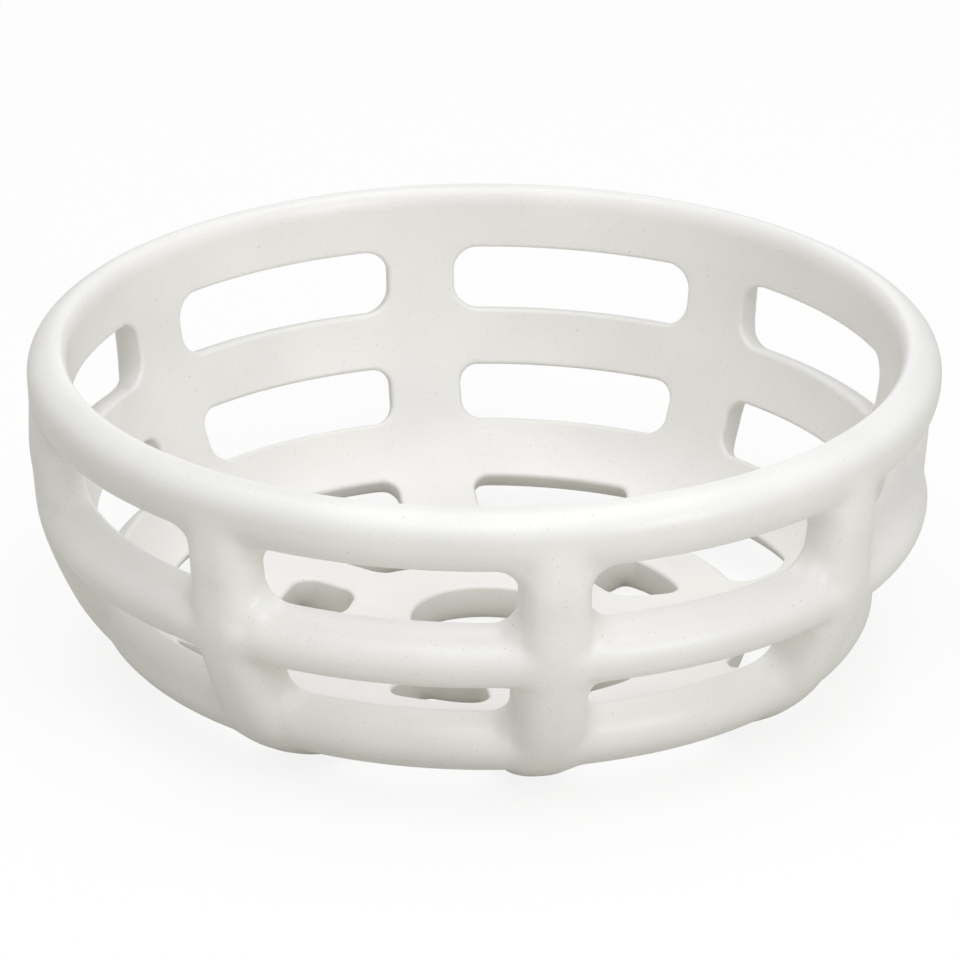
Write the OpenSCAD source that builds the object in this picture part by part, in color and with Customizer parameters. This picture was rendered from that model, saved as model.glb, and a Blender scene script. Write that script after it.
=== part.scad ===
// Openwork stoneware bowl: five hoops joined by four tiers of ribs

/* [Bowl] */
// Inside radius at the rim
inner_radius = 127; // [118:1:140]
// Inside depth, from the top of the rim to the floor
inner_depth = 92; // [86:1:100]
// Radius of the wall's upright curve
wall_arc = 165; // [145:1:220]
// Radius of the turn from the wall into the floor
turn_arc = 38; // [34:1:42]
// How much of the crowns underneath is wiped flat to stand on
foot_wipe = 0.8; // [0.4:0.1:1.4]

/* [Hoops] */
// Width of the rim, down the wall
rim_w = 19.5; // [18:0.5:22]
// Depth of the rim, out from the inside face
rim_d = 13; // [12:0.5:15]
// Radius of the rim's inside top edge
rim_edge = 4; // [3:0.5:5]
// Width of the middle hoop
middle_w = 18; // [16:0.5:21]
// Depth of the middle hoop
middle_d = 15; // [13:0.5:17]
// Width of the lower hoop
lower_w = 20; // [17:0.5:22]
// Depth of the lower hoop
lower_d = 14.5; // [13:0.5:17]
// Width of the floor hoop
floor_hoop_w = 17; // [14:0.5:19]
// Radius of the floor hoop's centre line
floor_hoop_r = 73; // [70:1:76]
// Radius of the hole in the middle of the floor
centre_hole_r = 22.5; // [18:0.5:25]
// Width of the ring round the middle hole
centre_ring_w = 20; // [17:0.5:22]
// Depth of the hoops and ribs under the floor, before they are wiped
floor_d = 14; // [12.5:0.5:16]

/* [Windows] */
// Height of the upper windows, down the wall
upper_window_h = 20; // [17:0.5:22]
// Corner radius of the upper windows
upper_corner = 7.5; // [5:0.5:8]
// Height of the lower windows, down the wall
lower_window_h = 17; // [15:0.5:19]
// Corner radius of the lower windows
lower_corner = 6; // [4:0.5:7]
// Corner radius of the holes in the turn
turn_corner = 5.5; // [4:0.5:6.5]
// Corner radius of the holes in the floor
floor_corner = 6.5; // [4:0.5:7]

/* [Ribs] */
// Width of the upper ribs
upper_rib_w = 21; // [17:0.5:24]
// Width of the lower ribs
lower_rib_w = 22.5; // [18:0.5:25]
// Width of the ribs in the turn
turn_rib_w = 24.5; // [18:0.5:25]
// Width of the floor ribs
floor_rib_w = 16; // [14:0.5:18]
// How far the ribs' crowns lie below the hoops' crowns
rib_drop = 0.7; // [0.4:0.1:1.2]
// Height of the webs that round the window corners, above the inside face
web_h = 8; // [6:0.5:9]

/* [Hidden] */
$fn = 144;
RIBS = 8;
PITCH = 360 / RIBS;
// How far a tool reaches past the face that it cuts
OVER = 2;
// How far a corner web sinks into the members that it joins
WEB_SINK = 3;
// How far the turn's disc reaches past the wall's arc, so that the two cross in one clean edge
TURN_REACH = 0.01;
CLAY = [0.93, 0.92, 0.89];

TIERS = ["upper_rib", "lower_rib", "turn_rib", "floor_rib"];

// The inside face in half section: upright edge, wall arc, turn and flat floor
floor_z = floor_d - foot_wipe;
rim_z = floor_z + inner_depth;
arc_depth = inner_depth - rim_edge;
turn_angle = asin((arc_depth - turn_arc) / (wall_arc - turn_arc));
wall_centre = [inner_radius - wall_arc, rim_z - rim_edge];
turn_centre = [wall_centre[0] + (wall_arc - turn_arc) * cos(turn_angle), floor_z + turn_arc];
wall_end = rim_edge + wall_arc * turn_angle * PI / 180;
floor_start = wall_end + turn_arc * (90 - turn_angle) * PI / 180;

// Lean of the inside face from upright, at length s down from the top of the rim
function lean(s) =
    s < rim_edge ? 0
    : s < wall_end ? (s - rim_edge) / wall_arc * 180 / PI
    : s < floor_start ? turn_angle + (s - wall_end) / turn_arc * 180 / PI
    : 90;
// Radius and height of the inside face at length s
function inside(s) =
    s < rim_edge ? [inner_radius, rim_z - s]
    : s < wall_end ? wall_centre + wall_arc * [cos(lean(s)), -sin(lean(s))]
    : s < floor_start ? turn_centre + turn_arc * [cos(lean(s)), -sin(lean(s))]
    : [turn_centre[0] - (s - floor_start), floor_z];
// Radius and height of a point that stands d out of the inside face at length s
function outside(s, d) = inside(s) + d * [cos(lean(s)), -sin(lean(s))];
// Length at which the flat floor has radius r
function floor_at(r) = floor_start + turn_centre[0] - r;

// Edges of the openings, as lengths down the inside face
upper_top = rim_w;
upper_end = upper_top + upper_window_h;
lower_top = upper_end + middle_w;
lower_end = lower_top + lower_window_h;
turn_top = lower_end + lower_w;
turn_end = floor_at(floor_hoop_r + floor_hoop_w / 2);
floor_top = floor_at(floor_hoop_r - floor_hoop_w / 2);
floor_end = floor_at(centre_hole_r + centre_ring_w);
centre_end = floor_at(centre_hole_r);

// Lengths at which the crowns of the hoops lie
rim_mid = rim_w / 2;
middle_mid = (upper_end + lower_top) / 2;
lower_mid = (lower_end + turn_top) / 2;
floor_mid = (turn_end + floor_top) / 2;
centre_mid = (floor_end + centre_end) / 2;

// Section of a member: straight sides and a half-round crown, w wide and d deep
module crown_section(w, d) {
    translate([-OVER, -w / 2]) square([d - w / 2 + OVER, w]);
    translate([d - w / 2, 0]) circle(d = w);
}

// A quarter of a disc of radius r, in the quadrant that the two signs name
module quarter(r, sign_x, sign_y) {
    intersection() {
        circle(r);
        translate([min(0, sign_x) * r, min(0, sign_y) * r]) square(r);
    }
}

// Half section of the room inside the bowl
module room_section() {
    joint = inside(wall_end);
    disc = turn_centre + [TURN_REACH, 0];
    intersection() {
        translate(wall_centre) circle(wall_arc);
        translate([0, joint[1]]) square([inner_radius, wall_centre[1] - joint[1]]);
    }
    translate([0, wall_centre[1]]) square([inner_radius, rim_edge + OVER]);
    translate(disc) quarter(turn_arc, 1, -1);
    polygon([[0, floor_z], [disc[0], floor_z], disc, joint, [0, joint[1]]]);
}

module room() {
    rotate_extrude() room_section();
}

// The space above the table that the bowl stands on
module above_table() {
    reach = 2 * inner_radius;
    translate([-reach, -reach, 0]) cube([2 * reach, 2 * reach, rim_z]);
}

// Half section of the rim: three rounds that run into each other, and the inside face
module rim_section() {
    top_round = rim_d - rim_edge;
    low_round = rim_w - top_round;
    translate([rim_edge, -rim_edge]) quarter(rim_edge, -1, 1);
    translate([rim_edge, -top_round]) quarter(top_round, 1, 1);
    translate([rim_d - low_round, -top_round]) quarter(low_round, 1, -1);
    translate([-OVER, -top_round]) square([rim_edge + OVER, top_round - rim_edge]);
    translate([-OVER, -rim_w]) square([rim_d - low_round + OVER, low_round]);
}

// Half section of a hoop between two lengths down the inside face, reaching a little into the room
module hoop_section(from, to, d) {
    mid = (from + to) / 2;
    translate(inside(mid)) rotate(-lean(mid)) crown_section(to - from, d);
}

module rim_half() {
    translate([inner_radius, rim_z]) rim_section();
}

module middle_half() {
    hoop_section(upper_end, lower_top, middle_d);
}

module lower_half() {
    hoop_section(lower_end, turn_top, lower_d);
}

module floor_half() {
    hoop_section(turn_end, floor_top, floor_d);
}

module centre_half() {
    hoop_section(floor_end, centre_end, floor_d);
}

// A hoop turned from its half section, flush with the inside face
module hoop() {
    rotate_extrude() difference() {
        children();
        room_section();
    }
}

// A bar at azimuth 0 whose crown follows one arc, between depths at two lengths of the inside face
module arc_bar(from, from_d, to, to_d, w) {
    chord = outside(to, to_d) - outside(from, from_d);
    turn = lean(to) - lean(from);
    arc = norm(chord) / (2 * sin(turn / 2));
    start = atan2(-chord[0], -chord[1]) - turn / 2;
    centre = outside(from, from_d) - arc * [cos(start), -sin(start)];
    d = max(from_d, to_d);
    translate([centre[0], 0, centre[1]]) rotate([90, 0, 0]) rotate(-start - turn)
        rotate_extrude(angle = turn) translate([arc - d, 0]) crown_section(w, d);
}

// A straight bar at azimuth 0 under the floor
module floor_bar(from, to, w) {
    translate([inside(to)[0], 0, floor_z]) rotate([90, 0, 90])
        linear_extrude(to - from) rotate(-90) crown_section(w, floor_d);
}

// A web that rounds one window corner: side is the rib's side, end is -1 at the top and 1 at the bottom
module corner_web(edge, end, side, w, corner) {
    s = edge - end * corner;
    across = w / 2 + corner;
    rotate(side * asin(across / inside(s)[0])) translate([inside(s)[0], 0, inside(s)[1]])
        rotate([0, 90 + lean(s), 0]) mirror([end < 0 ? 1 : 0, 0, 0]) mirror([0, side > 0 ? 1 : 0, 0])
            translate([0, 0, -OVER]) linear_extrude(web_h + OVER) difference() {
                square(corner + WEB_SINK);
                circle(corner);
            }
}

// A rib between two window edges: a bar, webs in its corners, and two hoops' half sections cut from it
module rib(from, to, w, corner) {
    difference() {
        intersection() {
            union() {
                children(0);
                for (side = [-1, 1]) {
                    corner_web(from, -1, side, w, corner);
                    corner_web(to, 1, side, w, corner);
                }
            }
            above_table();
        }
        room();
        rotate_extrude() children(1);
        rotate_extrude() children(2);
    }
}

module rim_hoop() {
    color(CLAY) hoop() rim_half();
}

module middle_hoop() {
    color(CLAY) hoop() middle_half();
}

module lower_hoop() {
    color(CLAY) hoop() lower_half();
}

module floor_hoop() {
    color(CLAY) intersection() {
        hoop() floor_half();
        above_table();
    }
}

module centre_ring() {
    color(CLAY) intersection() {
        hoop() centre_half();
        above_table();
    }
}

module upper_rib() {
    color(CLAY) rib(upper_top, upper_end, upper_rib_w, upper_corner) {
        arc_bar(rim_mid, rim_d - rib_drop, middle_mid, middle_d - rib_drop, upper_rib_w);
        rim_half();
        middle_half();
    }
}

module lower_rib() {
    color(CLAY) rib(lower_top, lower_end, lower_rib_w, lower_corner) {
        arc_bar(middle_mid, middle_d - rib_drop, lower_mid, lower_d - rib_drop, lower_rib_w);
        middle_half();
        lower_half();
    }
}

module turn_rib() {
    color(CLAY) rib(turn_top, turn_end, turn_rib_w, turn_corner) {
        arc_bar(lower_mid, lower_d - rib_drop, floor_mid, floor_d - rib_drop, turn_rib_w);
        lower_half();
        floor_half();
    }
}

module floor_rib() {
    color(CLAY) rib(floor_top, floor_end, floor_rib_w, floor_corner) {
        floor_bar(floor_mid, centre_mid, floor_rib_w);
        floor_half();
        centre_half();
    }
}

rim_hoop();
middle_hoop();
lower_hoop();
floor_hoop();
centre_ring();
// Rib 1 of each tier stands at the front, and the numbers run anticlockwise seen from above
for (i = [1:RIBS]) rotate((i - 1) * PITCH - 90) {
    upper_rib();
    lower_rib();
    turn_rib();
    floor_rib();
}
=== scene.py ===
from collections import namedtuple

import bpy
import numpy as np
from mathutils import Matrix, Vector


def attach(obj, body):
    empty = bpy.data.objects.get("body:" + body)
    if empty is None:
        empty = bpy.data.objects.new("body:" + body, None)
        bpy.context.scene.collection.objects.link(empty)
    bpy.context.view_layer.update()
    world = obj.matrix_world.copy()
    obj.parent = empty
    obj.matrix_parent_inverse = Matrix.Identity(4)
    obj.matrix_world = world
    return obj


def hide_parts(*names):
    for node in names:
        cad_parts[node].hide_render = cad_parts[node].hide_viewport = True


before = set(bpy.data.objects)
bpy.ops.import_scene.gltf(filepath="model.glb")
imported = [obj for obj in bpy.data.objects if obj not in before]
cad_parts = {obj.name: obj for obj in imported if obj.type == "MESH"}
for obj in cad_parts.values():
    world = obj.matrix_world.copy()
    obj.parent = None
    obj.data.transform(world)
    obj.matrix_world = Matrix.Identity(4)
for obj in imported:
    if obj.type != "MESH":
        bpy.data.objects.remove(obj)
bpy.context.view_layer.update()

# An openwork stoneware bowl. Its skin is one height function over the smooth inside face, and it is cut
# into hoops and ribs through the windows' corners: one closed piece for each solid of the frame.
# All sizes are in millimetres until a piece is put into its mesh.
MM = 0.001

# The inside face, from the top of the rim: upright edge, wall arc, turn arc and flat floor.
INNER_RADIUS = 127.0
FLOOR_Z = 13.2
RIM_Z = 105.2
RIM_EDGE = 4.0
WALL_ARC = 165.0
TURN_ARC = 38.0
TURN_LEAN = np.arcsin((RIM_Z - RIM_EDGE - FLOOR_Z - TURN_ARC) / (WALL_ARC - TURN_ARC))
WALL_CENTRE = (INNER_RADIUS - WALL_ARC, RIM_Z - RIM_EDGE)
TURN_CENTRE = (WALL_CENTRE[0] + (WALL_ARC - TURN_ARC) * np.cos(TURN_LEAN), FLOOR_Z + TURN_ARC)
WALL_END = RIM_EDGE + WALL_ARC * TURN_LEAN
FLOOR_START = WALL_END + TURN_ARC * (np.pi / 2 - TURN_LEAN)


def floor_at(radius):
    """Length down the inside face at which the flat floor has this radius."""
    return FLOOR_START + TURN_CENTRE[0] - radius


# Lengths down the inside face of the hoops' crowns, and of the edge of the hole in the middle.
RIM, MIDDLE, LOWER = 8.0, 48.5, 84.5
FLOOR, CENTRE, HOLE = floor_at(73.0), floor_at(32.5), floor_at(22.5)
CROWNS = np.array([RIM, MIDDLE, LOWER, FLOOR, CENTRE, HOLE])
# Round of the windows' inside edges. The clay is this deep at an edge.
EDGE_ROUND = 1.3
# Depths of the hoops, and of the ribs' crowns at marks down them. They run out at the rim and hole.
HOOP_DEPTHS = np.array([12.4, 14.9, 13.3, 14.0, 14.0])
RIB_MARKS = np.array([RIM, 29.5, MIDDLE, LOWER, 100.0, FLOOR, CENTRE, HOLE])
RIB_DEPTHS = np.array([12.5, 14.3, 16.1, 14.5, 13.3, 14.5, 14.5, EDGE_ROUND])

# A row of windows: crown above, top and bottom edges, crown below, half a rib's width, corner radius.
Row = namedtuple("Row", "above top end below rib corner")
UPPER = Row(RIM, 19.6, 39.5, MIDDLE, 10.55, 7.8)
SECOND = Row(MIDDLE, 57.5, 74.6, LOWER, 11.2, 5.95)
TURN = Row(LOWER, 94.5, floor_at(81.5), FLOOR, 12.2, 5.5)
BASE = Row(FLOOR, floor_at(64.4), floor_at(42.7), CENTRE, 8.0, 6.6)
ROWS = (UPPER, SECOND, TURN, BASE)
# The hole in the middle, as a window that goes all the way round. No clay lies past its top edge.
EYE = Row(CENTRE, HOLE, HOLE + 1, HOLE + 2, 0.0, 0.0)
# The ribs keep one width beside each row, and change from one to the next under the hoop between.
ROW_ENDS = np.array([edge for row in ROWS for edge in (row.top, row.end)])
RIB_HALVES = np.array([row.rib for row in ROWS for _ in range(2)])
# The ends of a window, as the side of its middle that they lie on.
TOP = -1
BOTTOM = 1

RIBS = 8
HALF_PITCH = np.pi / RIBS
# Rib 1 stands at the front, and the numbers run anticlockwise seen from above.
FRONT = -np.pi / 2

# How square the sections of hoops and ribs are: 2 is an ellipse.
CROWN_POWER = 2.2
# Shares of a hoop's and a rib's half width that the round side takes, the rest being its crown.
HOOP_ROUND = 0.96
RIB_ROUND = 0.9
# The clay that fills the windows' corners: its share of a hoop's height, and the round of its edge.
WEB_SHARE = 0.77
WEB_ROUND = 6.0
# How sharply this clay meets the hoops, and the ribs meet both: the greater, the narrower the valley.
WEB_POWER = 8
RIB_POWER = 5
# The rim's top line stands out of the inside face, and its inside round goes down this far.
RIM_TOP_OUT = 3.25
RIM_ROUND = 5.9
# The crowns underneath are wiped flat at the table, with a shoulder this high.
WIPE_SHOULDER = 0.4

# Points closer than this are at one place: within a piece, and on the skin from piece to piece.
SAME_PLACE = 1e-4
SAME_SKIN = 1e-3
# Lengths below this count as none.
NO_LENGTH = 1e-12
# Steps across half a rib, round half a window's corner, along a window's straight side, along half of
# its straight end, from an edge to a crown, and along each quarter of the rim's top.
RIB_STEPS = 16
CORNER_STEPS = 9
STRAIGHT_STEPS = 9
WINDOW_STEPS = 22
SIDE_STEPS = 18
RIM_STEPS = 12
# Places across a rib from -1 to 1, closer together towards its edges, as a sine.
RIB_SPREAD = np.sin(np.linspace(-np.pi / 2, np.pi / 2, 2 * RIB_STEPS + 1))
# Places from an edge (0) to a crown (1), closer together at the edge, as one less a cosine.
SIDE_SPREAD = 1 - np.cos(np.linspace(0, np.pi / 2, SIDE_STEPS + 1))


def inside(s):
    """Radius, height and lean from upright of the inside face at length s down it.

    An upright line, an arc of the wall's radius, an arc of the turn's radius and a level line, each
    tangent to the last."""
    wall = (s - RIM_EDGE) / WALL_ARC
    turn = TURN_LEAN + (s - WALL_END) / TURN_ARC
    zones = [s < RIM_EDGE, s < WALL_END, s < FLOOR_START]
    radii = [INNER_RADIUS + 0 * s,
             WALL_CENTRE[0] + WALL_ARC * np.cos(wall),
             TURN_CENTRE[0] + TURN_ARC * np.cos(turn)]
    heights = [RIM_Z - s,
               WALL_CENTRE[1] - WALL_ARC * np.sin(wall),
               TURN_CENTRE[1] - TURN_ARC * np.sin(turn)]
    radius = np.select(zones, radii, TURN_CENTRE[0] + FLOOR_START - s)
    height = np.select(zones, heights, FLOOR_Z)
    lean = np.select(zones, [0 * s, wall, turn], np.pi / 2)
    return radius, height, lean


def place(angle, s, out):
    """Points that stand out of the inside face by a height, along its normal, wiped flat at the table.

    The wipe is the greater of the height and zero, with a parabola over the shoulder between them."""
    radius, height, lean = inside(s)
    radius = radius + out * np.cos(lean)
    height = height - out * np.sin(lean)
    shoulder = np.maximum(WIPE_SHOULDER - abs(height), 0) ** 2 / (4 * WIPE_SHOULDER)
    height = np.maximum(height, 0) + shoulder
    return np.stack([radius * np.cos(angle), radius * np.sin(angle), height], -1)


def eased(s, marks, values):
    """Values at marks down the inside face, joined by cubics that are level at each mark."""
    i = np.clip(np.searchsorted(marks, s) - 1, 0, len(marks) - 2)
    t = np.clip((s - marks[i]) / (marks[i + 1] - marks[i]), 0, 1)
    return values[i] + (values[i + 1] - values[i]) * t * t * (3 - 2 * t)


def off_centre(angle):
    """Angle from the middle of the nearest window, from 0 to half a pitch at a rib's crown."""
    return abs((angle - FRONT) % (2 * HALF_PITCH) - HALF_PITCH)


def to_window(angle, s, row):
    """Distance of points from the edges of a row's windows: from a rectangle with round corners."""
    x = inside(s)[0] * (off_centre(angle) - HALF_PITCH) + row.rib + row.corner
    y = abs(s - (row.top + row.end) / 2) - (row.end - row.top) / 2 + row.corner
    outside = np.hypot(np.maximum(x, 0), np.maximum(y, 0))
    return np.maximum(outside + np.minimum(np.maximum(x, y), 0) - row.corner, 0)


def round_side(share):
    """Height of a round side, from 0 at its edge to 1 at its crown, where share goes from 0 to 1.

    A quarter of an ellipse, or of the squarer curve that the crown's power gives."""
    return np.sqrt(1 - (1 - np.clip(share, 0, 1)) ** CROWN_POWER)


def clay(angle, s):
    """Heights of the inside and the outside of the clay over points of the inside face.

    Outside, the heights of the hoop and of the web in the corners are joined as a root of the sum of
    their powers, a soft form of the greater of them, and the rib is joined to both in the same way.
    The hoop's own height is what the web leaves of the hoop's crown by that sum, and the rib's own
    what both leave of the rib's crown, so that the crowns run on in one line. Inside, a quarter circle
    rounds the edge. Both meet upright at the window's edge."""
    zone = np.clip(np.searchsorted(CROWNS, s) - 1, 0, len(ROWS))
    row = Row(*np.moveaxis(np.array([*ROWS, EYE])[zone], -1, 0))
    over_window = s < (row.top + row.end) / 2
    hoop_share = np.where(over_window, (row.top - s) / (row.top - row.above),
                          (s - row.end) / (row.below - row.end))
    hoop_crown = eased(s, CROWNS[:-1], HOOP_DEPTHS) - EDGE_ROUND
    distance = to_window(angle, s, row)
    web_power = (WEB_SHARE * round_side(distance / WEB_ROUND)) ** WEB_POWER
    hoop_power = (1 - WEB_SHARE ** WEB_POWER) * round_side(hoop_share / HOOP_ROUND) ** WEB_POWER
    ground_power = (hoop_crown * (hoop_power + web_power) ** (1 / WEB_POWER)) ** RIB_POWER
    rib_crown = eased(s, RIB_MARKS, RIB_DEPTHS) - EDGE_ROUND
    from_rib = (HALF_PITCH - off_centre(angle)) * inside(s)[0]
    rib_share = 1 - from_rib / eased(s, ROW_ENDS, RIB_HALVES)
    rib_power = (np.maximum(rib_crown ** RIB_POWER - ground_power, 0)
                 * round_side(rib_share / RIB_ROUND) ** RIB_POWER)
    outer = EDGE_ROUND + (ground_power + rib_power) ** (1 / RIB_POWER)
    inner = EDGE_ROUND * (1 - np.sqrt(1 - (1 - np.minimum(distance / EDGE_ROUND, 1)) ** 2))
    at_edge = distance < SAME_PLACE
    return np.where(at_edge, EDGE_ROUND, inner), np.where(at_edge, EDGE_ROUND, outer)


def window_side(row):
    """Lengths down the side of a window, between its corners' middles, and half a rib there, in angle.

    An eighth of a circle, a straight line and an eighth of a circle."""
    turn = np.linspace(np.pi / 4, 0, CORNER_STEPS + 1)
    down = row.corner * (1 - np.sin(turn))
    across = row.corner * (1 - np.cos(turn))
    straight = np.linspace(row.top + row.corner, row.end - row.corner, STRAIGHT_STEPS + 1)[1:-1]
    s = np.concatenate([row.top + down, straight, row.end - down[::-1]])
    wider = np.concatenate([across, 0 * straight, across[::-1]])
    return s, (row.rib + wider) / inside(s)[0]


def window_end(row, end):
    """Angles and lengths round the bowl along the tops or bottoms of a row's windows.

    Over half a pitch: straight across half a rib, an eighth of a circle and half a straight edge. That
    half is mirrored, and the pitch is turned round the bowl."""
    edge = row.top if end == TOP else row.end
    turn = np.linspace(np.pi / 4, np.pi / 2, CORNER_STEPS + 1)
    s = edge - end * row.corner * (1 - np.sin(turn))
    arc = HALF_PITCH - (row.rib + row.corner * (1 - np.cos(turn))) / inside(s)[0]
    across = HALF_PITCH - (HALF_PITCH - arc[0]) * RIB_SPREAD[RIB_STEPS:-1]
    straight = arc[-1] * np.linspace(1, 0, WINDOW_STEPS + 1)[1:]
    half = np.concatenate([across, arc, straight])
    half_s = np.concatenate([np.full(RIB_STEPS, s[0]), s, np.full(WINDOW_STEPS, edge)])
    pitch = np.concatenate([-half[:-1], half[:0:-1]])
    pitch_s = np.concatenate([half_s[:-1], half_s[:0:-1]])
    middles = FRONT + HALF_PITCH * (2 * np.arange(RIBS) + 1)
    return (middles[:, None] + pitch).ravel(), np.tile(pitch_s, RIBS)


def up_side(edge_angle, edge, crown_angle, crown):
    """Angles and lengths from points on an edge to a hoop's crown, along straight lines."""
    angle = edge_angle[:, None] + (crown_angle - edge_angle)[:, None] * SIDE_SPREAD
    s = edge[:, None] + (crown - edge)[:, None] * SIDE_SPREAD
    return angle, s


def rim_top(angle, crown_out):
    """Angles, lengths and heights from the rim's crown over its top line and down its inside.

    Two quarters of ellipses, which meet level at the top line."""
    quarter = np.linspace(0, np.pi / 2, RIM_STEPS + 1)[1:]
    s = np.concatenate([RIM * (1 - np.sin(quarter)), RIM_ROUND * (1 - np.cos(quarter))])
    up = RIM_TOP_OUT + (crown_out - RIM_TOP_OUT) * np.cos(quarter)
    down = RIM_TOP_OUT * (1 - np.sin(quarter)) + 0 * crown_out
    out = np.hstack([up, down])
    return angle + 0 * out, s + 0 * out, out


def ring_faces(rows, columns, closed):
    """Corners of the faces of a grid whose columns go round in a loop, and its rows too if closed."""
    i = np.arange(rows if closed else rows - 1)[:, None]
    j = np.arange(columns)[None]
    down = (i + 1) % rows
    over = (j + 1) % columns
    corners = [i * columns + j, down * columns + j, down * columns + over, i * columns + over]
    return np.stack(corners, -1)


def hoop(crown, row_above, row_below):
    """A hoop: at each angle a closed section, from the lower edge over the crown and back inside.

    Where a window lies, the outside and the inside meet at its edge. Across a rib they end at the
    joint, and the strip between them is the joint's face. The rim has no row above it, and the centre
    ring has the hole below it. Returns points, faces and which faces are joints."""
    if row_below:
        low_angle, low = window_end(row_below, TOP)
    if row_above:
        high_angle, high = window_end(row_above, BOTTOM)
    else:
        high_angle = low_angle
    if not row_below:
        low_angle, low = high_angle, HOLE + 0 * high
    crown_angle = (low_angle + high_angle) / 2
    angle, s = up_side(low_angle, low, crown_angle, crown)
    if row_above:
        high_side = up_side(high_angle, high, crown_angle, crown)
        angle = np.hstack([angle, high_side[0][:, -2::-1]])
        s = np.hstack([s, high_side[1][:, -2::-1]])
    inner, outer = clay(angle, s)
    parts = [(angle, s, outer), (angle[:, ::-1], s[:, ::-1], inner[:, ::-1])]
    if not row_above:
        parts.insert(1, rim_top(low_angle[:, None], outer[:, -1:]))
    angle, s, out = (np.hstack(part) for part in zip(*parts))
    points = place(angle, s, out)
    faces = ring_faces(*angle.shape, closed=True)
    joint = np.zeros(faces.shape[:2], bool)
    joint[:, -1] = True
    if row_above:
        joint[:, 2 * SIDE_STEPS] = True
    return points.reshape(-1, 3), faces.reshape(-1, 4), joint.ravel()


def rib(number, row):
    """A rib: at each length a closed section, from edge to edge over the crown and back inside.

    A strip between the outside and the inside closes it at both joints. Returns what a hoop does."""
    s, half = window_side(row)
    angle = FRONT + 2 * HALF_PITCH * (number - 1) + half[:, None] * RIB_SPREAD
    s = s[:, None] + 0 * angle
    inner, outer = clay(angle, s)
    angle, s = (np.hstack([part, part[:, ::-1]]) for part in (angle, s))
    points = place(angle, s, np.hstack([outer, inner[:, ::-1]]))
    rows, columns = angle.shape
    skin = ring_faces(rows, columns, closed=False).reshape(-1, 4)
    j = np.arange(columns // 2 - 1)
    strip = np.stack([j, j + 1, columns - 2 - j, columns - 1 - j], -1)
    faces = np.vstack([skin, strip, (rows - 1) * columns + strip[:, ::-1]])
    return points.reshape(-1, 3), faces, np.arange(len(faces)) >= len(skin)


def welded(points, faces, joint):
    """The same grid with points that fall together made one, and faces without area left out.

    Points fall together where they agree when rounded to SAME_PLACE."""
    rounded = np.round(points / SAME_PLACE).astype(np.int64)
    _, first, same = np.unique(rounded, axis=0, return_index=True, return_inverse=True)
    faces = same.ravel()[faces]
    pairs = faces == np.roll(faces, -1, axis=1)
    opposite = (faces[:, 0] == faces[:, 2]) | (faces[:, 1] == faces[:, 3])
    keep = (pairs.sum(1) < 2) & ~opposite
    return points[first], faces[keep], joint[keep]


def face_normals(points, faces):
    """Normals of four-cornered faces, twice their area long: the cross product of the diagonals."""
    p = points[faces]
    return np.cross(p[:, 2] - p[:, 0], p[:, 3] - p[:, 1])


def unit(vectors):
    """Vectors of length one in the same directions, or of none where they have none."""
    return vectors / np.maximum(np.linalg.norm(vectors, axis=1, keepdims=True), NO_LENGTH)


def skin_normals(shapes):
    """Normals at every point of the whole bowl's skin, so that the glaze runs on over the joints.

    The faces' normals are added up at each place, joints left out, whichever piece they belong to."""
    points = np.vstack([p for p, _, _ in shapes])
    starts = np.cumsum([0] + [len(p) for p, _, _ in shapes])
    rounded = np.round(points / SAME_SKIN).astype(np.int64)
    _, place_of = np.unique(rounded, axis=0, return_inverse=True)
    place_of = place_of.ravel()
    total = np.zeros((place_of.max() + 1, 3))
    for start, (p, faces, joint) in zip(starts, shapes):
        skin = faces[~joint]
        normals = face_normals(p, skin)
        for corner in range(4):
            distinct = skin[:, corner] != skin[:, corner - 1]
            np.add.at(total, place_of[start + skin[distinct, corner]], normals[distinct])
    total = unit(total)
    return [total[place_of[a:b]] for a, b in zip(starts, starts[1:])]


def make_piece(node, shape, normals, material):
    """Puts a shape into a mesh that stands for the solid of the same name.

    The skin is shaded with the whole bowl's normals, and the joints with their faces' own."""
    points, faces, joint = shape
    corners = [tuple(dict.fromkeys(face)) for face in faces.tolist()]
    mesh = bpy.data.meshes.new(node + "_glazed")
    mesh.from_pydata(points * MM, [], corners)
    mesh.shade_smooth()
    count = np.array([len(c) for c in corners])
    at_joint = np.repeat(joint, count)
    flat = np.repeat(unit(face_normals(points, faces)), count, axis=0)
    smooth = normals[np.concatenate(corners)]
    mesh.normals_split_custom_set(np.where(at_joint[:, None], flat, smooth))
    mesh.materials.append(material)
    piece = bpy.data.objects.new(node + "_glazed", mesh)
    bpy.context.collection.objects.link(piece)
    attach(piece, "root")
    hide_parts(node)


def linear(hex_colour):
    """Linear colour of an sRGB hex value."""
    channels = np.array([int(hex_colour[i:i + 2], 16) for i in (1, 3, 5)]) / 255
    channels = np.where(channels <= 0.04045, channels / 12.92, ((channels + 0.055) / 1.055) ** 2.4)
    return (*channels, 1.0)


def add_node(tree, kind, inputs=(), **settings):
    """Adds a node with its properties. Its inputs, by name or number, are values or other outputs."""
    node = tree.nodes.new(kind)
    for name, value in settings.items():
        setattr(node, name, value)
    for socket, value in dict(inputs).items():
        if isinstance(value, bpy.types.NodeSocket):
            tree.links.new(value, node.inputs[socket])
        else:
            node.inputs[socket].default_value = value
    return node


def new_material(name):
    """A new material, its node tree and its shader."""
    material = bpy.data.materials.new(name)
    material.use_nodes = True
    tree = material.node_tree
    return material, tree, tree.nodes["Principled BSDF"]


def per_metre(size):
    """Texture scale of a pattern whose cells are this many millimetres wide."""
    return 1 / (size * MM)


# Octaves of finer noise in every pattern of the glaze.
NOISE_DETAIL = 2.0
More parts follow.
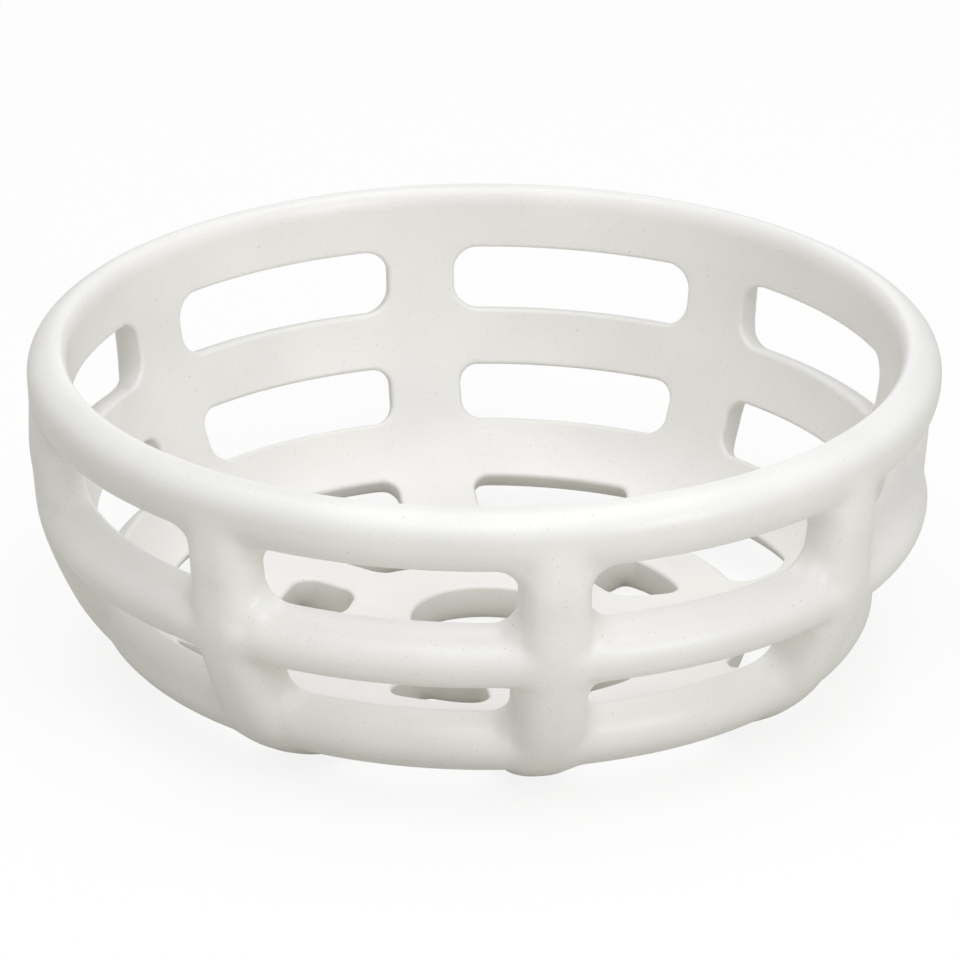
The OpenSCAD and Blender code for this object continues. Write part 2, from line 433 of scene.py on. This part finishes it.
# The glaze: where its tone is darkest and palest in the noise, and the size of this drift.
GLAZE_TONES = ((0.35, "#EAE8E2"), (0.65, "#F0EEE7"))
TONE_DRIFT = 45.0
GLAZE_ROUGHNESS = 0.33
GLAZE_IOR = 1.45
# The ripple of the fired surface, and its height.
RIPPLE = 7.0
RIPPLE_HEIGHT = 0.06
# Kinds of specks: width of the cells that have one at most, largest radius, share of the cells with
# one, colour. They are drawn at their real size, which is one or two pixels in the render.
SPECKS = ((1.5, 0.32, 0.90, "#C8C3BA"), (3.2, 0.36, 0.36, "#A59C90"))
SMALLEST_SPECK = 0.4
SPECK_CLUSTER = 14.0
# The bare clay of the wiped foot. The glaze gives way to it between these heights above the table.
BARE_CLAY = "#CDBFA8"
BARE_ROUGHNESS = 0.8
BARE_BELOW = 0.15
GLAZED_ABOVE = 0.45


def specks(tree, spot, clusters, cell, radius, share):
    """How much of a speck's colour shows at a spot, from 0 to 1.

    Each cell of a Voronoi pattern has a random colour. Its red, below a limit that is higher in the
    clusters, gives the cell a speck, and its green gives the speck's radius as a share of the cell.
    The speck fades from its middle to its edge by a smooth step."""
    cells = add_node(tree, "ShaderNodeTexVoronoi", {"Vector": spot, "Scale": per_metre(cell)})
    chance = add_node(tree, "ShaderNodeSeparateColor", {"Color": cells.outputs["Color"]})
    # The clusters' noise is a half on average, so that it is doubled here.
    limit = add_node(tree, "ShaderNodeMath", {0: clusters, 1: 2 * share}, operation="MULTIPLY")
    chosen = add_node(tree, "ShaderNodeMath", {0: chance.outputs["Red"], 1: limit.outputs[0]},
                      operation="LESS_THAN")
    size = add_node(tree, "ShaderNodeMapRange", {"Value": chance.outputs["Green"],
                                                 "To Min": SMALLEST_SPECK * radius / cell,
                                                 "To Max": radius / cell})
    dot = add_node(tree, "ShaderNodeMapRange", {"Value": cells.outputs["Distance"],
                                                "From Min": size.outputs[0], "From Max": 0.0},
                   interpolation_type="SMOOTHSTEP")
    shown = add_node(tree, "ShaderNodeMath", {0: dot.outputs[0], 1: chosen.outputs[0]},
                     operation="MULTIPLY")
    return shown.outputs[0]


def speckled_glaze():
    """Speckled stoneware, dipped in an off-white satin glaze and fired.

    The glaze gives a warm white that drifts a little in tone, iron in the clay bleeds through as fine
    brown specks in loose clusters, and the surface shines softly with a faint ripple. The crowns that
    are wiped flat underneath, for the kiln shelf, show the dry buff clay."""
    material, tree, shader = new_material("satin glazed speckled stoneware")
    spot = add_node(tree, "ShaderNodeTexCoord").outputs["Object"]
    drift = add_node(tree, "ShaderNodeTexNoise",
                     {"Vector": spot, "Scale": per_metre(TONE_DRIFT), "Detail": NOISE_DETAIL})
    tone = add_node(tree, "ShaderNodeValToRGB", {"Fac": drift.outputs["Fac"]})
    for stop, (position, shade) in zip(tone.color_ramp.elements, GLAZE_TONES):
        stop.position = position
        stop.color = linear(shade)
    height = add_node(tree, "ShaderNodeSeparateXYZ", {"Vector": spot})
    wiped = add_node(tree, "ShaderNodeMapRange", {"Value": height.outputs["Z"],
                                                  "From Min": GLAZED_ABOVE * MM,
                                                  "From Max": BARE_BELOW * MM},
                     interpolation_type="SMOOTHSTEP")
    body = add_node(tree, "ShaderNodeMix", {0: wiped.outputs[0], 6: tone.outputs["Color"],
                                            7: linear(BARE_CLAY)}, data_type="RGBA")
    colour = body.outputs[2]
    clusters = add_node(tree, "ShaderNodeTexNoise",
                        {"Vector": spot, "Scale": per_metre(SPECK_CLUSTER), "Detail": NOISE_DETAIL})
    for cell, radius, share, shade in SPECKS:
        shown = specks(tree, spot, clusters.outputs["Fac"], cell, radius, share)
        specked = add_node(tree, "ShaderNodeMix", {0: shown, 6: colour, 7: linear(shade)}, data_type="RGBA")
        colour = specked.outputs[2]
    tree.links.new(colour, shader.inputs["Base Color"])
    ripple = add_node(tree, "ShaderNodeTexNoise",
                      {"Vector": spot, "Scale": per_metre(RIPPLE), "Detail": NOISE_DETAIL})
    bump = add_node(tree, "ShaderNodeBump", {"Height": ripple.outputs["Fac"], "Distance": RIPPLE_HEIGHT * MM})
    tree.links.new(bump.outputs["Normal"], shader.inputs["Normal"])
    roughness = add_node(tree, "ShaderNodeMapRange", {"Value": wiped.outputs[0],
                                                      "To Min": GLAZE_ROUGHNESS, "To Max": BARE_ROUGHNESS})
    tree.links.new(roughness.outputs[0], shader.inputs["Roughness"])
    shader.inputs["IOR"].default_value = GLAZE_IOR
    return material


glaze = speckled_glaze()
hoops = {
    "rim_hoop": hoop(RIM, None, UPPER),
    "middle_hoop": hoop(MIDDLE, UPPER, SECOND),
    "lower_hoop": hoop(LOWER, SECOND, TURN),
    "floor_hoop": hoop(FLOOR, TURN, BASE),
    "centre_ring": hoop(CENTRE, BASE, None),
}
tiers = zip(("upper_rib", "lower_rib", "turn_rib", "floor_rib"), ROWS)
ribs = {f"{tier}_{i}": rib(i, row) for tier, row in tiers for i in range(1, RIBS + 1)}
nodes = [*hoops, *ribs]
shapes = [welded(*shape) for shape in [*hoops.values(), *ribs.values()]]
for node, shape, normals in zip(nodes, shapes, skin_normals(shapes)):
    make_piece(node, shape, normals, glaze)

# The camera looks down at the bowl from a little left of rib 1, at a point beside the bowl's axis.
VIEW_LEFT = np.radians(9.24)
VIEW_DOWN = np.radians(23.0)
VIEW_DISTANCE = 2533.5
VIEW_SHIFT = -1.32
VIEW_HEIGHT = 58.5
PIXELS_PER_MM = 3.2602
FRAME_PIXELS = 960
SENSOR = 36.0

# The white of the background, and how much of it the glaze mirrors.
WHITE = "#FFFFFF"
MIRRORED_WHITE = 0.25
# The floor's own finish, its colour under the shadow that the camera sees, and the white in that.
FLOOR_COLOUR = "#CBCAC2"
FLOOR_ROUGHNESS = 0.9
FLOOR_SHADED = "#FAF9F4"
FLOOR_WHITE = 0.85
# The floor's half side in metres, how far it lies below the foot, and the rays too short for it to stop.
FLOOR_HALF = 6.0
FLOOR_DROP = 0.1
SHORT_RAY = 1.0
# Strength of the room's even fill.
FILL = 0.457
# The soft boxes' colour, their distance in metres, and the height above the table that they face.
BOX_COLOUR = "#F5F7FF"
BOX_DISTANCE = 2.0
BOX_AIM = 0.05


def seen_white(tree):
    """How white the background is to a ray: wholly where it is seen straight or through glass, and
    partly where it is mirrored, as a satin glaze mirrors a studio with sides darker than its backdrop."""
    path = add_node(tree, "ShaderNodeLightPath")
    mirrored = add_node(tree, "ShaderNodeMath", {0: path.outputs["Is Glossy Ray"], 1: MIRRORED_WHITE},
                        operation="MULTIPLY")
    straight = add_node(tree, "ShaderNodeMath", {0: path.outputs["Is Camera Ray"],
                                                 1: path.outputs["Is Transmission Ray"]},
                        operation="MAXIMUM")
    either = add_node(tree, "ShaderNodeMath", {0: mirrored.outputs[0], 1: straight.outputs[0]},
                      operation="MAXIMUM")
    return either.outputs[0]


def pale_floor():
    """A matt pale floor. The camera sees it almost white, with the bowl's soft shadow kept on it.

    It lies a hair below the wiped foot. A camera below it sees through it, and the foot gets the
    room's light through it, so that the underside can be looked at."""
    material, tree, shader = new_material("matt pale floor")
    shader.inputs["Base Color"].default_value = linear(FLOOR_COLOUR)
    shader.inputs["Roughness"].default_value = FLOOR_ROUGHNESS
    shader.inputs["Specular IOR Level"].default_value = 0.0
    shaded = add_node(tree, "ShaderNodeBsdfDiffuse", {"Color": linear(FLOOR_SHADED)})
    white = add_node(tree, "ShaderNodeEmission", {"Color": linear(WHITE), "Strength": 1.0})
    paler = add_node(tree, "ShaderNodeMixShader",
                     {0: FLOOR_WHITE, 1: shaded.outputs[0], 2: white.outputs[0]})
    lit = add_node(tree, "ShaderNodeMixShader",
                   {0: seen_white(tree), 1: shader.outputs[0], 2: paler.outputs[0]})
    side = add_node(tree, "ShaderNodeNewGeometry")
    path = add_node(tree, "ShaderNodeLightPath")
    from_below = add_node(tree, "ShaderNodeMath", {0: side.outputs["Backfacing"],
                                                   1: path.outputs["Is Camera Ray"]},
                          operation="MULTIPLY")
    from_foot = add_node(tree, "ShaderNodeMath", {0: path.outputs["Ray Length"], 1: SHORT_RAY * MM},
                         operation="LESS_THAN")
    either = add_node(tree, "ShaderNodeMath", {0: from_below.outputs[0], 1: from_foot.outputs[0]},
                      operation="MAXIMUM")
    clear = add_node(tree, "ShaderNodeBsdfTransparent")
    shown = add_node(tree, "ShaderNodeMixShader",
                     {0: either.outputs[0], 1: lit.outputs[0], 2: clear.outputs[0]})
    tree.links.new(shown.outputs[0], tree.nodes["Material Output"].inputs["Surface"])
    sides = ((-1, -1), (1, -1), (1, 1), (-1, 1))
    corners = [(x * FLOOR_HALF, y * FLOOR_HALF, -FLOOR_DROP * MM) for x, y in sides]
    mesh = bpy.data.meshes.new("floor")
    mesh.from_pydata(corners, [], [(0, 1, 2, 3)])
    mesh.materials.append(material)
    floor = bpy.data.objects.new("floor", mesh)
    bpy.context.collection.objects.link(floor)


def white_room():
    """A room that is seen white, and partly white where it is mirrored. Its light is an even fill."""
    world = bpy.data.worlds.new("white room")
    bpy.context.scene.world = world
    world.use_nodes = True
    tree = world.node_tree
    fill = tree.nodes["Background"]
    fill.inputs["Color"].default_value = linear(WHITE)
    fill.inputs["Strength"].default_value = FILL
    white = add_node(tree, "ShaderNodeBackground", {"Color": linear(WHITE), "Strength": 1.0})
    mix = add_node(tree, "ShaderNodeMixShader",
                   {0: seen_white(tree), 1: fill.outputs[0], 2: white.outputs[0]})
    tree.links.new(mix.outputs[0], tree.nodes["World Output"].inputs["Surface"])


def soft_box(name, turn, rise, side, watts):
    """A square soft box that faces the bowl, turned to the right of the camera and raised, in degrees.

    Its side is in metres. Its white is a little cooler than the room's, as daylight is."""
    light = bpy.data.lights.new(name, "AREA")
    light.color = linear(BOX_COLOUR)[:3]
    light.size = side
    light.energy = watts
    lamp = bpy.data.objects.new(name, light)
    turn = np.radians(turn) - VIEW_LEFT
    rise = np.radians(rise)
    away = Vector((np.sin(turn) * np.cos(rise), -np.cos(turn) * np.cos(rise), np.sin(rise)))
    lamp.location = BOX_DISTANCE * away + Vector((0, 0, BOX_AIM))
    lamp.rotation_euler = (-away).to_track_quat("-Z", "Y").to_euler()
    bpy.context.collection.objects.link(lamp)


def look():
    """The camera, aimed at a point beside the bowl's axis, with a lens that gives the frame's scale."""
    right = Vector((np.cos(VIEW_LEFT), -np.sin(VIEW_LEFT), 0))
    back = Vector((-np.sin(VIEW_LEFT) * np.cos(VIEW_DOWN), -np.cos(VIEW_LEFT) * np.cos(VIEW_DOWN),
                   np.sin(VIEW_DOWN)))
    aim = right * VIEW_SHIFT + Vector((0, 0, VIEW_HEIGHT))
    camera = bpy.data.cameras.new("camera")
    camera.sensor_width = SENSOR
    camera.lens = SENSOR * PIXELS_PER_MM * VIEW_DISTANCE / FRAME_PIXELS
    eye = bpy.data.objects.new("camera", camera)
    eye.location = (aim + back * VIEW_DISTANCE) * MM
    eye.rotation_euler = (-back).to_track_quat("-Z", "Y").to_euler()
    bpy.context.collection.objects.link(eye)
    bpy.context.scene.camera = eye


pale_floor()
white_room()
soft_box("overhead soft box", 0, 89, 2.0, 20.3)
soft_box("front soft box", 0, 50, 1.0, 9.1)
soft_box("low front soft box", 0, 18, 1.0, 2.0)
soft_box("right soft box", 45, 16, 0.8, 8.3)
soft_box("back soft box", 180, 16, 1.0, 2.4)
look()
bpy.context.scene.view_settings.view_transform = "Standard"
